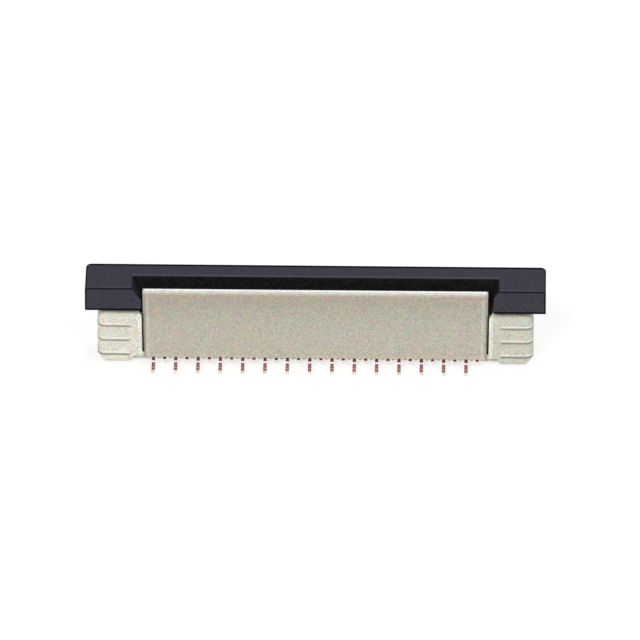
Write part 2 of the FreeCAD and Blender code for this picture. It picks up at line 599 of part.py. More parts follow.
def make_slider():
    """Black slider: a bar over the bar wall, two ears that reach round the slot wall, a wedge
    tongue that presses the flat circuit on the contacts, and two hooked legs."""
    body = new_body("slider")
    corner = SIZE.slider_corner
    bend = f"{SLIDER_BACK} - {corner}"
    plan = [
        (minus(SLIDER_END), SLOT_FACE),
        (SLIDER_END, SLOT_FACE),
        (SLIDER_END, bend, f"{SLIDER_END} - {corner}", bend, 1),
        (f"{SLIDER_END} - {corner}", SLIDER_BACK),
        (f"{corner} - {SLIDER_END}", SLIDER_BACK, f"{corner} - {SLIDER_END}", bend, 1),
        (minus(SLIDER_END), bend),
    ]
    sketch = add_sketch(body, "plan", "XY_Plane", [plan], SLIDER_BOTTOM)
    block = add_pad(body, "block", sketch, SIZE.slider_height)
    back = measure(SLIDER_BACK)
    top = measure(SLIDER_TOP)

    def rear_edge(point):
        return near(point.y, back) and near(point.z, top)

    add_fillet(body, "top_edges", block, rear_edge, SIZE.slider_edge)

    wide = f"({LAST_AXIS} + {SIZE.notch_margin})"
    left = f"({LAST_AXIS} + {SIZE.notch_margin_left})"
    right = f"({LAST_AXIS} + {SIZE.notch_margin_right})"
    notch = [
        (minus(left), f"{SLIDER_BOTTOM} - {OVERLAP}"),
        (right, f"{SLIDER_BOTTOM} - {OVERLAP}"),
        (right, f"{SLIDER_TOP} - {SIZE.notch_slope} * ({wide} - {right})"),
        (wide, SLIDER_TOP),
        (wide, f"{SLIDER_TOP} + {OVERLAP}"),
        (minus(wide), f"{SLIDER_TOP} + {OVERLAP}"),
        (minus(wide), SLIDER_TOP),
        (minus(left), f"{SLIDER_TOP} - {SIZE.notch_slope} * ({wide} - {left})"),
    ]
    sketch = add_sketch(body, "notch", "XZ_Plane", [notch], BAR_FACE)
    add_pocket(body, "notch_cut", sketch, f"{BAR_FRONT} - {SLOT_FACE}")

    ramp_top = f"{SLIDER_BOTTOM} + {BAR_FRONT} - {TONGUE_FRONT}"
    tongue = [
        (f"{TONGUE_FRONT} + {SIZE.tongue_relief}", SIZE.tongue_bottom),
        (f"{TONGUE_BACK} - {SIZE.tongue_lead}", SIZE.tongue_bottom),
        (TONGUE_BACK, f"{SIZE.tongue_bottom} + {SIZE.tongue_lead}"),
        (TONGUE_BACK, f"{SLIDER_BOTTOM} + {OVERLAP}"),
        (f"{BAR_FRONT} + {OVERLAP}", ramp_top),
        (BAR_FRONT, ramp_top),
        (TONGUE_FRONT, SLIDER_BOTTOM),
        (TONGUE_FRONT, f"{SIZE.tongue_bottom} + {SIZE.tongue_taper}"),
    ]
    sketch = add_sketch(body, "tongue", "YZ_Plane", [tongue])
    length = f"2 * ({CAVITY_END} - {SIZE.tongue_clearance})"
    add_pad(body, "tongue_pad", sketch, length, symmetric=True)

    left = f"({BLOCK_START} + {SIZE.leg_start})"
    right = f"({left} + {SIZE.leg_width})"
    hook = f"({right} + {SIZE.hook_reach})"
    catch = f"({SIZE.leg_bottom} + {SIZE.hook_height})"
    leg = [
        (left, SIZE.leg_bottom),
        (right, SIZE.leg_bottom),
        (hook, f"{SIZE.leg_bottom} + {SIZE.hook_height} / 2"),
        (hook, catch),
        (right, catch),
        (right, f"{SLIDER_BOTTOM} + {OVERLAP}"),
        (left, f"{SLIDER_BOTTOM} + {OVERLAP}"),
    ]
    sketch = add_sketch(body, "leg", "XZ_Plane", both_sides(leg))
    add_pad(body, "legs", sketch, SIZE.leg_depth, symmetric=True)
    return body


def make_nail(name, side):
    """Hold-down plate under the foot of an end block, with two legs bent up into the foot."""
    body = new_body(name)
    outer = f"({BLOCK_END} - {SIZE.nail_edge})"
    inner = f"({outer} - {SIZE.nail_length})"
    tab = f"({inner} - {SIZE.nail_tab_length})"
    half = f"({SIZE.nail_depth} / 2)"
    bevel = SIZE.nail_bevel
    tab_half = f"({SIZE.nail_tab_width} / 2)"
    plate = [
        (f"{inner} + {bevel}", minus(half)),
        (f"{outer} - {bevel}", minus(half)),
        (outer, f"-{half} + {bevel}"),
        (outer, f"{half} - {bevel}"),
        (f"{outer} - {bevel}", half),
        (f"{inner} + {bevel}", half),
        (inner, tab_half),
        (tab, tab_half),
        (tab, minus(tab_half)),
        (inner, minus(tab_half)),
    ]
    if side < 0:
        plate = mirrored(plate)
    sketch = add_sketch(body, "plate_outline", "XY_Plane", [plate])
    add_pad(body, "plate", sketch, SIZE.nail_thickness)

    middle = f"({inner} + {outer}) / 2"
    leg_left = f"{middle} - {SIZE.nail_leg_width} / 2"
    leg_right = f"{middle} + {SIZE.nail_leg_width} / 2"
    root = f"({half} - {SIZE.nail_thickness})"
    legs = [
        rectangle(leg_left, leg_right, minus(half), minus(root)),
        rectangle(leg_left, leg_right, root, half),
    ]
    if side < 0:
        legs = [mirrored(leg) for leg in legs]
    sketch = add_sketch(body, "leg_outlines", "XY_Plane", legs)
    add_pad(body, "legs", sketch, SIZE.nail_leg_height)
    return body


pieces = [make_housing(), make_slider()]
for index in range(int(value_of("contact_count"))):
    pieces.append(make_contact(index + 1, -1 if index % 2 == 0 else 1))
pieces.append(make_nail("nail_left", -1))
pieces.append(make_nail("nail_right", 1))
doc.recompute()

for item in doc.Objects:
    if "Invalid" in item.State or "Error" in item.State:
        raise RuntimeError(f"{item.Name} failed: {item.State}")
for piece in pieces:
    if piece.Shape.isNull() or not piece.Shape.isValid():
        raise RuntimeError(f"{piece.Label} has no valid shape")
    if len(piece.Shape.Solids) != 1:
        raise RuntimeError(f"{piece.Label} has {len(piece.Shape.Solids)} solids")

os.makedirs("parts", exist_ok=True)
for piece in pieces:
    piece.Shape.exportStep(os.path.join("parts", f"{piece.Label}.step"))
    box = piece.Shape.BoundBox
    print(f"{piece.Label}: {piece.Shape.Volume:.3f} mm3, {box.XLength:.2f} x {box.YLength:.2f}"
          f" x {box.ZLength:.2f} mm")
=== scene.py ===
import math

import bpy
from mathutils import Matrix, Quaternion, Vector


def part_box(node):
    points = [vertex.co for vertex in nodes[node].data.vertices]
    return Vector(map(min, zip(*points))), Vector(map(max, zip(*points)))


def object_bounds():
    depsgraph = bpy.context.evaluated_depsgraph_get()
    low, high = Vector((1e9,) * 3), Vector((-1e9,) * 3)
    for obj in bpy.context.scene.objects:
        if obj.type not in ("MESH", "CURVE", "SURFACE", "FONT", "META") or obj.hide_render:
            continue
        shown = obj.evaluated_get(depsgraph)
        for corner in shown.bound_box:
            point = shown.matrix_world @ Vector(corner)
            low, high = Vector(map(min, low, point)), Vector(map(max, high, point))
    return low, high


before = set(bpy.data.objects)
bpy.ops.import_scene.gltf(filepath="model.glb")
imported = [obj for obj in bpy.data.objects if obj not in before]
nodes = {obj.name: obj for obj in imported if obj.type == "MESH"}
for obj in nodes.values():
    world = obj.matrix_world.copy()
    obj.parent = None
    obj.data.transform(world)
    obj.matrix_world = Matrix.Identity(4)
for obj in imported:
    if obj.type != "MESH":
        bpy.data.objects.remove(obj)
cad_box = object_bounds()

MM = 0.001
WHITE = (1.0, 1.0, 1.0, 1.0)

# Places on the connector in metres, as the frame has them: x runs along the row of contacts,
# the slot side faces -y, and the board lies at z = 0.
WALL_FACE = 2.15 * MM
WALL_END = 15.33 * MM
WALL_FOOT = 0.72 * MM
WALL_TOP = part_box("housing")[1][2]
END_DRAFT = 0.12 * MM
WALL_LEAN = END_DRAFT / (WALL_TOP - WALL_FOOT)
SLIT_WIDTH = 0.15 * MM
SLIT_BEVEL = 0.28 * MM
BLOCK_TOP = 5.27 * MM
RIDGE_UNDERSIDES = (0.84 * MM, 2.34 * MM, 3.84 * MM)
RIDGE_START = 16.60 * MM
SLIDER_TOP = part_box("slider")[1][2]
SLIDER_BOTTOM = 5.64 * MM
SLIDER_FRONT = -WALL_FACE
SLIDER_BACK = 2.07 * MM
SLIDER_END = 20.60 * MM
NOTCH_END = 16.42 * MM
NOTCH_BACK = -0.08 * MM
CONTACT_PITCH = 1.0 * MM
NECK_LENGTH = 0.40 * MM
TAIL_LENGTH = 1.65 * MM


def from_srgb(red, green, blue):
    """Linear colour of an 8 bit screen colour."""
    channels = []
    for level in (red, green, blue):
        level /= 255
        channels.append(level / 12.92 if level <= 0.04045 else ((level + 0.055) / 1.055) ** 2.4)
    return (*channels, 1.0)


# Node helpers

# Sockets of a Mix node that carry colours.
MIX_FIRST, MIX_SECOND, MIX_RESULT = 6, 7, 2

# Layout of the nodes in the shader editor.
COLUMN_WIDTH = 190
ROW_DROP = 40
ROWS = 3


class Tree:
    """Adds shader nodes to the tree of a material, a group or the world, from left to right."""

    def __init__(self, tree):
        self.tree = tree
        self.column = 0

    def add(self, kind, **settings):
        node = self.tree.nodes.new(kind)
        node.location = (self.column * COLUMN_WIDTH, -ROW_DROP * (self.column % ROWS))
        self.column += 1
        for name, value in settings.items():
            setattr(node, name, value)
        return node

    def join(self, output, socket):
        self.tree.links.new(output, socket)

    def fill(self, socket, value):
        """Joins an output to the socket, or sets a plain value on it."""
        if hasattr(value, "is_output"):
            self.join(value, socket)
        else:
            socket.default_value = value

    def math(self, operation, first, second=0.0):
        node = self.add("ShaderNodeMath", operation=operation)
        self.fill(node.inputs[0], first)
        self.fill(node.inputs[1], second)
        return node.outputs[0]

    def absolute(self, value):
        return self.math("ABSOLUTE", value)

    def plus(self, first, second):
        return self.math("ADD", first, second)

    def minus(self, first, second):
        return self.math("SUBTRACT", first, second)

    def every(self, *masks):
        """Mask where all the masks hold."""
        result = masks[0]
        for mask in masks[1:]:
            result = self.math("MULTIPLY", result, mask)
        return result

    def most(self, *values):
        """Largest of the values, which for masks is where any of them holds."""
        result = values[0]
        for value in values[1:]:
            result = self.math("MAXIMUM", result, value)
        return result

    def ramp(self, value, start, full, to_start=0.0, to_full=1.0, smooth=True):
        """0 where value is at start, 1 where it is at full, or another pair, and clamped."""
        kind = "SMOOTHSTEP" if smooth else "LINEAR"
        node = self.add("ShaderNodeMapRange", interpolation_type=kind)
        for index, amount in enumerate((value, start, full, to_start, to_full)):
            self.fill(node.inputs[index], amount)
        return node.outputs[0]

    def between(self, mask, low, high):
        """low where the mask is 0, and high where it is 1."""
        return self.ramp(mask, 0.0, 1.0, low, high)

    def band(self, value, low, high, soft):
        """1 where value lies from low to high, falling to 0 over soft on both sides."""
        return self.every(self.ramp(value, low - soft, low), self.ramp(value, high + soft, high))

    def blend(self, factor, first, second, mode="MIX"):
        node = self.add("ShaderNodeMix", data_type="RGBA", blend_type=mode)
        node.clamp_factor = True
        self.fill(node.inputs["Factor"], factor)
        self.fill(node.inputs[MIX_FIRST], first)
        self.fill(node.inputs[MIX_SECOND], second)
        return node.outputs[MIX_RESULT]

    def paint(self, under, over, *masks, strength=1.0):
        """The colour under, with the colour over on it where all the masks hold."""
        if strength < 1.0:
            masks = (*masks, strength)
        return self.blend(self.every(*masks), under, over)

    def tinted(self, colour, tint):
        return self.blend(1.0, colour, tint, mode="MULTIPLY")

    def flecked(self, colour, tint, darkest, spread):
        """Colour times darkest where the tint is 0, and times darkest plus spread where it is 1."""
        fleck = self.tinted(tint, (spread, spread, spread, 1.0))
        fleck = self.blend(1.0, fleck, (darkest, darkest, darkest, 1.0), mode="ADD")
        return self.tinted(colour, fleck)

    def grey(self, value):
        node = self.add("ShaderNodeCombineColor")
        for socket in node.inputs:
            self.fill(socket, value)
        return node.outputs[0]

    def stops(self, value, colours):
        """Colour that runs through a list of (place, colour), with places from 0 to 1."""
        node = self.add("ShaderNodeValToRGB")
        self.join(value, node.inputs[0])
        elements = node.color_ramp.elements
        while len(elements) < len(colours):
            elements.new(0.5)
        for element, (place, colour) in zip(elements, colours):
            element.position = place
            element.color = colour
        return node.outputs[0]

    def split(self, vector):
        """x, y and z of a vector."""
        node = self.add("ShaderNodeSeparateXYZ")
        self.join(vector, node.inputs[0])
        return node.outputs

    def facing(self):
        """x, y and z of the way that the surface faces."""
        return self.split(self.add("ShaderNodeNewGeometry").outputs["Normal"])

    def place(self):
        """Coordinates on the piece itself, in metres, and their x, y and z."""
        coordinates = self.add("ShaderNodeTexCoord").outputs["Object"]
        return coordinates, self.split(coordinates)

    def stretch(self, coordinates, amounts):
        """Coordinates that lengthen a texture by the three amounts."""
        node = self.add("ShaderNodeMapping")
        node.inputs["Scale"].default_value = [1 / amount for amount in amounts]
        self.join(coordinates, node.inputs["Vector"])
        return node.outputs[0]

    def noise(self, coordinates, size, detail, roughness=0.5, output="Fac"):
        """Noise whose features are about size metres across."""
        node = self.add("ShaderNodeTexNoise")
        self.join(coordinates, node.inputs["Vector"])
        node.inputs["Scale"].default_value = 1 / size
        node.inputs["Detail"].default_value = detail
        node.inputs["Roughness"].default_value = roughness
        return node.outputs[output]


def new_group(name, inputs, outputs):
    """Node group with named sockets, and its tree, its input node and its output node."""
    group = bpy.data.node_groups.new(name, "ShaderNodeTree")
    for label, kind, value in inputs:
        socket = group.interface.new_socket(label, in_out="INPUT", socket_type=kind)
        if value is not None:
            socket.default_value = value
    for label, kind in outputs:
        group.interface.new_socket(label, in_out="OUTPUT", socket_type=kind)
    tree = Tree(group)
    return group, tree, tree.add("NodeGroupInput"), tree.add("NodeGroupOutput")


def place_group(tree, group, **values):
    node = tree.add("ShaderNodeGroup")
    node.node_tree = group
    for label, value in values.items():
        tree.fill(node.inputs[label], value)
    return node.outputs


# Shared effects

# Sizes of the marks in the eroded surface of a moulding.
PIT_SIZE = 0.11 * MM
WAVE_SIZE = 0.9 * MM
CLOUD_SIZE = 4.0 * MM
SPECKLE_SIZE = 0.15 * MM
TINT_SIZE = 0.16 * MM

# Sizes of the marks on rolled sheet, and how far its streaks are drawn out in x, y and z.
STREAK_SIZE = 0.12 * MM
STREAK_STRETCH = (0.5, 5.0, 1.0)
SHEET_PIT_SIZE = 0.07 * MM
PATCH_SIZE = 0.7 * MM

# A noise keeps near its middle, so it is spread from one of these ranges to the one from 0 to 1.
SPECKLE_RANGE = (0.30, 0.70)
CLOUD_RANGE = (0.35, 0.65)
TINT_GAIN = (3.0, 3.0, 3.0)
TINT_SHIFT = (-1.0, -1.0, -1.0)

BUMP_STRENGTH = 0.6

# How far the rounded face turns from the flat one, and how open a corner is to the air.
EDGE_TURN = (0.01, 0.16)
HOLLOW_OPENNESS = (0.85, 0.25)


def make_mould_grain():
    """Fine eroded surface of a moulding: small pits with softer waves under them."""
    group, tree, given, result = new_group(
        "mould_grain",
        [("Place", "NodeSocketVector", None), ("Waves", "NodeSocketFloat", 0.4)],
        [("Height", "NodeSocketFloat"), ("Speckle", "NodeSocketFloat"), ("Tint", "NodeSocketColor"),
         ("Cloud", "NodeSocketFloat")])
    place = given.outputs["Place"]
    pits = tree.noise(place, PIT_SIZE, detail=2.0, roughness=0.7)
    waves = tree.noise(place, WAVE_SIZE, detail=2.0)
    cloud = tree.noise(place, CLOUD_SIZE, detail=3.0)
    speckle = tree.noise(place, SPECKLE_SIZE, detail=1.0)
    tint = tree.noise(place, TINT_SIZE, detail=1.0, output="Color")
    spread = tree.add("ShaderNodeVectorMath", operation="MULTIPLY_ADD")
    for socket, value in zip(spread.inputs, (tint, TINT_GAIN, TINT_SHIFT)):
        tree.fill(socket, value)
    tree.join(tree.plus(pits, tree.every(waves, given.outputs["Waves"])), result.inputs["Height"])
    tree.join(tree.ramp(speckle, *SPECKLE_RANGE, smooth=False), result.inputs["Speckle"])
    tree.join(spread.outputs[0], result.inputs["Tint"])
    tree.join(tree.ramp(cloud, *CLOUD_RANGE), result.inputs["Cloud"])
    return group


def make_soft_edges():
    """Rounds the look of sharp edges, carries a bump height, and masks the edges."""
    group, tree, given, result = new_group(
        "soft_edges",
        [("Radius", "NodeSocketFloat", 0.05 * MM), ("Height", "NodeSocketFloat", 0.0),
         ("Depth", "NodeSocketFloat", 0.002 * MM)],
        [("Normal", "NodeSocketVector"), ("Edge", "NodeSocketFloat")])
    rounded = tree.add("ShaderNodeBevel", samples=6)
    tree.join(given.outputs["Radius"], rounded.inputs["Radius"])
    bump = tree.add("ShaderNodeBump")
    bump.inputs["Strength"].default_value = BUMP_STRENGTH
    tree.join(given.outputs["Depth"], bump.inputs["Distance"])
    tree.join(given.outputs["Height"], bump.inputs["Height"])
    tree.join(rounded.outputs[0], bump.inputs["Normal"])
    tree.join(bump.outputs[0], result.inputs["Normal"])
    likeness = tree.add("ShaderNodeVectorMath", operation="DOT_PRODUCT")
    tree.join(rounded.outputs[0], likeness.inputs[0])
    tree.join(tree.add("ShaderNodeNewGeometry").outputs["Normal"], likeness.inputs[1])
    turned = tree.minus(1.0, likeness.outputs["Value"])
    tree.join(tree.ramp(turned, *EDGE_TURN), result.inputs["Edge"])
    return group


def make_hollow_shade():
    """Mask of corners and narrow places, where light is poor, which places painted shade."""
    group, tree, given, result = new_group(
        "hollow_shade",
        [("Reach", "NodeSocketFloat", 0.5 * MM)],
        [("Hollow", "NodeSocketFloat")])
    openness = tree.add("ShaderNodeAmbientOcclusion", samples=6)
    tree.join(given.outputs["Reach"], openness.inputs["Distance"])
    tree.join(tree.ramp(openness.outputs["AO"], *HOLLOW_OPENNESS), result.inputs["Hollow"])
    return group


def make_rolled_sheet():
    """Streaks of rolled strip along the length of a stamped piece, with small pits."""
    group, tree, given, result = new_group(
        "rolled_sheet",
        [("Place", "NodeSocketVector", None)],
        [("Streak", "NodeSocketFloat"), ("Height", "NodeSocketFloat"), ("Patch", "NodeSocketFloat")])
    place = given.outputs["Place"]
    streak = tree.noise(tree.stretch(place, STREAK_STRETCH), STREAK_SIZE, detail=2.0)
    pits = tree.noise(place, SHEET_PIT_SIZE, detail=2.0)
    patch = tree.noise(place, PATCH_SIZE, detail=2.0)
    tree.join(tree.ramp(streak, *SPECKLE_RANGE, smooth=False), result.inputs["Streak"])
    tree.join(tree.plus(pits, streak), result.inputs["Height"])
    tree.join(tree.ramp(patch, *CLOUD_RANGE), result.inputs["Patch"])
    return group


mould_grain = make_mould_grain()
soft_edges = make_soft_edges()
hollow_shade = make_hollow_shade()
rolled_sheet = make_rolled_sheet()


def new_material(name, **sockets):
    """Material with one Principled shader whose plain values are on its own sockets."""
    material = bpy.data.materials.new(name)
    material.use_nodes = True
    material.node_tree.nodes.clear()
    tree = Tree(material.node_tree)
    shader = tree.add("ShaderNodeBsdfPrincipled")
    output = tree.add("ShaderNodeOutputMaterial")
    tree.join(shader.outputs[0], output.inputs["Surface"])
    for label, value in sockets.items():
        shader.inputs[label.replace("_", " ")].default_value = value
    return material, tree, shader


# Below, a place given as two values is where a mark starts and where it is full. Three values
# are the low side of a band, its high side and the width of its soft edges. Two colours are
# the ones that a mask or a noise blends.

# Ivory plastic of the housing

# Colours of the long walls from the board (0) up to the edge of the slot wall (1). They hold painted
# light that makes the bottom pale, painted shade that darkens them towards the top, and a painted
# highlight along the top edge.
WALL_COLOURS_WITH_PAINTED_LIGHT = (
    (0.085, from_srgb(236, 226, 202)),
    (0.10, from_srgb(204, 194, 174)),
    (0.15, from_srgb(191, 185, 170)),
    (0.32, from_srgb(189, 184, 169)),
    (0.58, from_srgb(183, 179, 164)),
    (0.74, from_srgb(178, 173, 158)),
    (0.84, from_srgb(174, 166, 152)),
    (0.945, from_srgb(178, 166, 149)),
    (0.972, from_srgb(196, 188, 174)),
    (0.984, from_srgb(203, 200, 191)),
    (0.993, from_srgb(208, 208, 202)),
    (0.998, from_srgb(250, 252, 248)),
)
# Painted highlight along the front of the long walls' top rim.
WALL_RIM_HIGHLIGHT = from_srgb(212, 214, 206)
END_SHADE_BROWN = from_srgb(142, 122, 110)
# Painted highlight in a band a little way in from each end of the long walls.
END_HIGHLIGHT_IVORY = from_srgb(206, 206, 190)
# Painted shade on the last bit of each long wall beside its slit.
BRINK_SHADE_BROWN = from_srgb(84, 60, 58)
# Painted shade inside the slits, darkest on the wall's side.
SLIT_SHADE_BROWNS = (from_srgb(52, 34, 32), from_srgb(128, 112, 104))
# Painted shade on the bevelled mouth at the top of each slit.
BEVEL_SHADE_BROWN = from_srgb(62, 30, 38)
# Painted highlight on the edge of the block beside each slit.
SLIT_EDGE_HIGHLIGHT = from_srgb(255, 255, 250)
BLOCK_IVORIES = (from_srgb(218, 216, 202), from_srgb(226, 224, 211))
# Painted shade that darkens the end blocks from the left one to the right one.
BLOCK_SIDE_SHADE_TINTS = (WHITE, (0.83, 0.83, 0.80, 1.0))
FOOT_IVORY = from_srgb(204, 198, 174)
# Painted highlight in a strip of the block beside each slit.
STRIP_HIGHLIGHT_IVORY = from_srgb(236, 240, 224)
# Painted highlight on the crest of each grip ridge, and painted shadow in the crease under it.
CREST_HIGHLIGHT_IVORY = from_srgb(246, 246, 232)
CREASE_SHADOW_BROWN = from_srgb(118, 106, 94)
# Painted shade in corners and narrow places.
HOLLOW_SHADE_BROWN = from_srgb(92, 78, 72)
# Paler edges, as wear and as a painted highlight.
EDGE_WEAR_AND_HIGHLIGHT = from_srgb(248, 248, 240)
# Painted shade on the tops of the end blocks under the slider.
COVERED_SHADE_BROWN = from_srgb(66, 52, 54)
# Painted highlight on the top front rim of the end blocks.
BLOCK_RIM_HIGHLIGHT = from_srgb(255, 255, 246)
IVORY_ROUGHNESS = (0.48, 0.62)

# How much of the ivory's flecks is grey, against those of mixed tints.
GREY_SHARE = 0.4

# Places by height.
WALL_RIM_LEVEL = (WALL_TOP - 0.06 * MM, WALL_TOP - 0.03 * MM)
END_HIGHLIGHT_LEVEL = (WALL_TOP - 0.3 * MM, WALL_TOP - 1.2 * MM)
BRINK_BOTTOM = (1.2 * MM, 1.4 * MM)
BRINK_TOP = (BLOCK_TOP + 0.3 * MM, BLOCK_TOP)
SLIT_LEVEL = (1.18 * MM, BLOCK_TOP - 0.3 * MM, 0.04 * MM)
SLIT_EDGE_LEVEL = (3.4 * MM, 4.2 * MM)
BEVEL_LEVEL = (BLOCK_TOP - SLIT_BEVEL - 0.02 * MM, BLOCK_TOP, 0.01 * MM)
BLOCK_TOP_LEVEL = (BLOCK_TOP - 0.04 * MM, BLOCK_TOP - 0.01 * MM)
BLOCK_RIM_LEVEL = (BLOCK_TOP - 0.15 * MM, BLOCK_TOP, 0.04 * MM)
FOOT_LEVEL = (0.35 * MM, 0.05 * MM)
HOLLOW_LEVEL = (0.75 * MM, 1.1 * MM)
EDGE_LEVEL = (0.9 * MM, 1.1 * MM)

# Places past the leaning end of the long walls, where the slits begin.
END_HIGHLIGHT_BAND = (-0.48 * MM, -0.36 * MM, 0.10 * MM)
END_SHADE = (-0.12 * MM, 0.0, 0.14 * MM)
BRINK = (-0.15 * MM, -0.03 * MM)
PAST_WALL = (-0.01 * MM, 0.0)
IN_SLIT = (-0.01 * MM, SLIT_WIDTH + 0.01 * MM, 0.005 * MM)
ACROSS_SLIT = (0.04 * MM, 0.13 * MM)
IN_BLOCK = (0.02 * MM, 0.06 * MM)
PALE_STRIP = (0.16 * MM, 0.46 * MM, 0.10 * MM)

# Places past the inner side of the end blocks, which follows the slit and its bevel.
BEFORE_BLOCK = (0.02 * MM, 0.005 * MM)
SLIT_EDGE = (0.01 * MM, 0.10 * MM, 0.06 * MM)

# Places from the middle of the connector towards its front and its back.
WALL_RIM_FRONT = (WALL_FACE - 0.20 * MM, WALL_FACE - 0.10 * MM)
INSIDE_WALL_FACE = (WALL_FACE - 0.01 * MM, WALL_FACE - 0.03 * MM)
BLOCK_FRONT = (WALL_FACE - 0.3 * MM, WALL_FACE - 0.2 * MM)
RIDGED_FRONT = (1.80 * MM, 1.92 * MM)

# Places along the row of contacts, from its middle, and across the whole of it.
RIDGED_END = (18.9 * MM, 19.2 * MM)
RIDGED_LENGTH = (RIDGE_START - 0.02 * MM, RIDGE_START + 0.04 * MM)
INNER_CORNER = (16.1 * MM, 15.8 * MM)
LEFT_TO_RIGHT = (-16 * MM, 16 * MM)

# Places above the underside of a ridge.
CREASE = (0.02 * MM, 0.11 * MM, 0.03 * MM)
CREST = (0.22 * MM, 0.31 * MM, 0.05 * MM)

# How far a face looks up, from 0 for an upright one to 1, and how far it is closed in.
LOOKS_UP = (0.5, 0.8)
STANDS_UPRIGHT = (0.8, 0.6)
CLOSED_IN = (0.02, 0.35)


def colour_walls(tree, z, out, past_end):
    """Long walls: a run of colours by height with painted light and shade in it, a painted highlight on
    the rim, painted shade at the ends beside the slits, and a painted highlight a little way in from
    each end.
    """
    colour = tree.stops(tree.ramp(z, 0.0, WALL_TOP, smooth=False), WALL_COLOURS_WITH_PAINTED_LIGHT)
    colour = tree.paint(colour, WALL_RIM_HIGHLIGHT,
                        tree.ramp(z, *WALL_RIM_LEVEL), tree.ramp(out, *WALL_RIM_FRONT))
    colour = tree.paint(colour, END_SHADE_BROWN, tree.band(past_end, *END_SHADE), strength=0.40)
    colour = tree.paint(colour, BRINK_SHADE_BROWN, tree.ramp(past_end, *BRINK),
                        tree.ramp(z, *BRINK_BOTTOM), tree.ramp(z, *BRINK_TOP), strength=0.75)
    return tree.paint(colour, END_HIGHLIGHT_IVORY, tree.band(past_end, *END_HIGHLIGHT_BAND),
                      tree.ramp(z, *END_HIGHLIGHT_LEVEL), strength=0.45)


def colour_blocks(tree, cloud, x, z, past_end):
    """End blocks: cloudy ivory, yellower at the foot, with painted shade that darkens the right one,
    and a painted highlight in a strip by the slit.
    """
    colour = tree.blend(cloud, *BLOCK_IVORIES)
    colour = tree.paint(colour, FOOT_IVORY, tree.ramp(z, *FOOT_LEVEL), strength=0.6)
    colour = tree.tinted(colour, tree.blend(tree.ramp(x, *LEFT_TO_RIGHT), *BLOCK_SIDE_SHADE_TINTS))
    return tree.paint(colour, STRIP_HIGHLIGHT_IVORY, tree.band(past_end, *PALE_STRIP), strength=0.65)


def colour_ridges(tree, colour, along, out, z):
    """A painted highlight on the crest and a painted shadow in the crease of each grip ridge of the end
    blocks.
    """
    on_side = tree.most(tree.ramp(out, *RIDGED_FRONT), tree.ramp(along, *RIDGED_END))
    on_ridge = tree.every(on_side, tree.ramp(along, *RIDGED_LENGTH))
    heights = [tree.minus(z, underside) for underside in RIDGE_UNDERSIDES]
    crest = tree.most(*[tree.band(height, *CREST) for height in heights])
    crease = tree.most(*[tree.band(height, *CREASE) for height in heights])
    colour = tree.paint(colour, CREST_HIGHLIGHT_IVORY, on_ridge, crest, strength=0.8)
    return tree.paint(colour, CREASE_SHADOW_BROWN, on_ridge, crease, strength=0.85)


def colour_slits(tree, colour, z, out, past_end):
    """Painted shade in the slits and on their bevelled mouth, and a painted highlight on the edge of
    the block beside them.
    """
    inside = tree.ramp(out, *INSIDE_WALL_FACE)
    slit = tree.blend(tree.ramp(past_end, *ACROSS_SLIT), *SLIT_SHADE_BROWNS)
    colour = tree.paint(colour, slit, tree.band(past_end, *IN_SLIT), tree.band(z, *SLIT_LEVEL), inside)
    bevel = tree.most(tree.minus(z, BLOCK_TOP - SLIT_BEVEL), 0.0)
    past_side = tree.minus(past_end, tree.plus(bevel, SLIT_WIDTH))
    colour = tree.paint(colour, SLIT_EDGE_HIGHLIGHT, tree.band(past_side, *SLIT_EDGE),
                        tree.ramp(z, *SLIT_EDGE_LEVEL), tree.ramp(out, *BLOCK_FRONT), strength=0.9)
    return tree.paint(colour, BEVEL_SHADE_BROWN, tree.ramp(past_side, *BEFORE_BLOCK),
                      tree.ramp(past_end, *PAST_WALL), tree.band(z, *BEVEL_LEVEL), inside)


